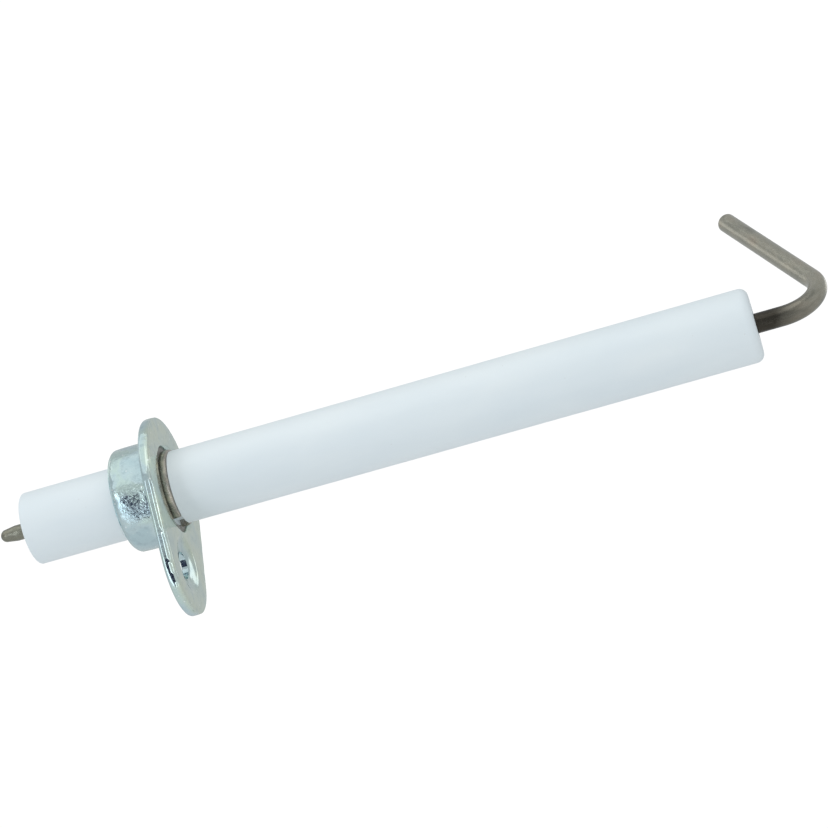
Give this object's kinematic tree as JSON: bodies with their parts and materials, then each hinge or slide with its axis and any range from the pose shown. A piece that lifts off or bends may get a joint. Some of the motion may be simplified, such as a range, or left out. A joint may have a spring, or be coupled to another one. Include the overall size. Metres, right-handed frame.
{
  "type": "ignition electrode",
  "caption": "Ignition electrode: a plain white ceramic tube with a pressed steel flange and collar near its cable end, and a round rod bent back beside its spark end.",
  "frame": {"origin": "centre of the flange's flat seat face, on the axis of the ceramic tube", "axes": "+X along the ceramic towards the spark end and out of the seat face, +Z away from the flange's screw lobe, +Y towards the side the rod is bent to"},
  "size_m": [0.1391, 0.0352, 0.0505],
  "materials": {
    "ceramic": "satin",
    "rod_alloy": "oxidised",
    "zinc_steel": "zinc plated",
    "spring_steel": "dark",
    "packing": "matte",
    "cement": "matte"
  },
  "bodies": {
    "root": {"ceramic_insulator": "ceramic", "electrode_rod": "rod_alloy", "mounting_flange": "zinc_steel", "retaining_ring": "spring_steel", "collar_packing": "packing", "spark_end_cement": "cement", "cable_end_cement": "cement"}
  },
  "joints": []
}
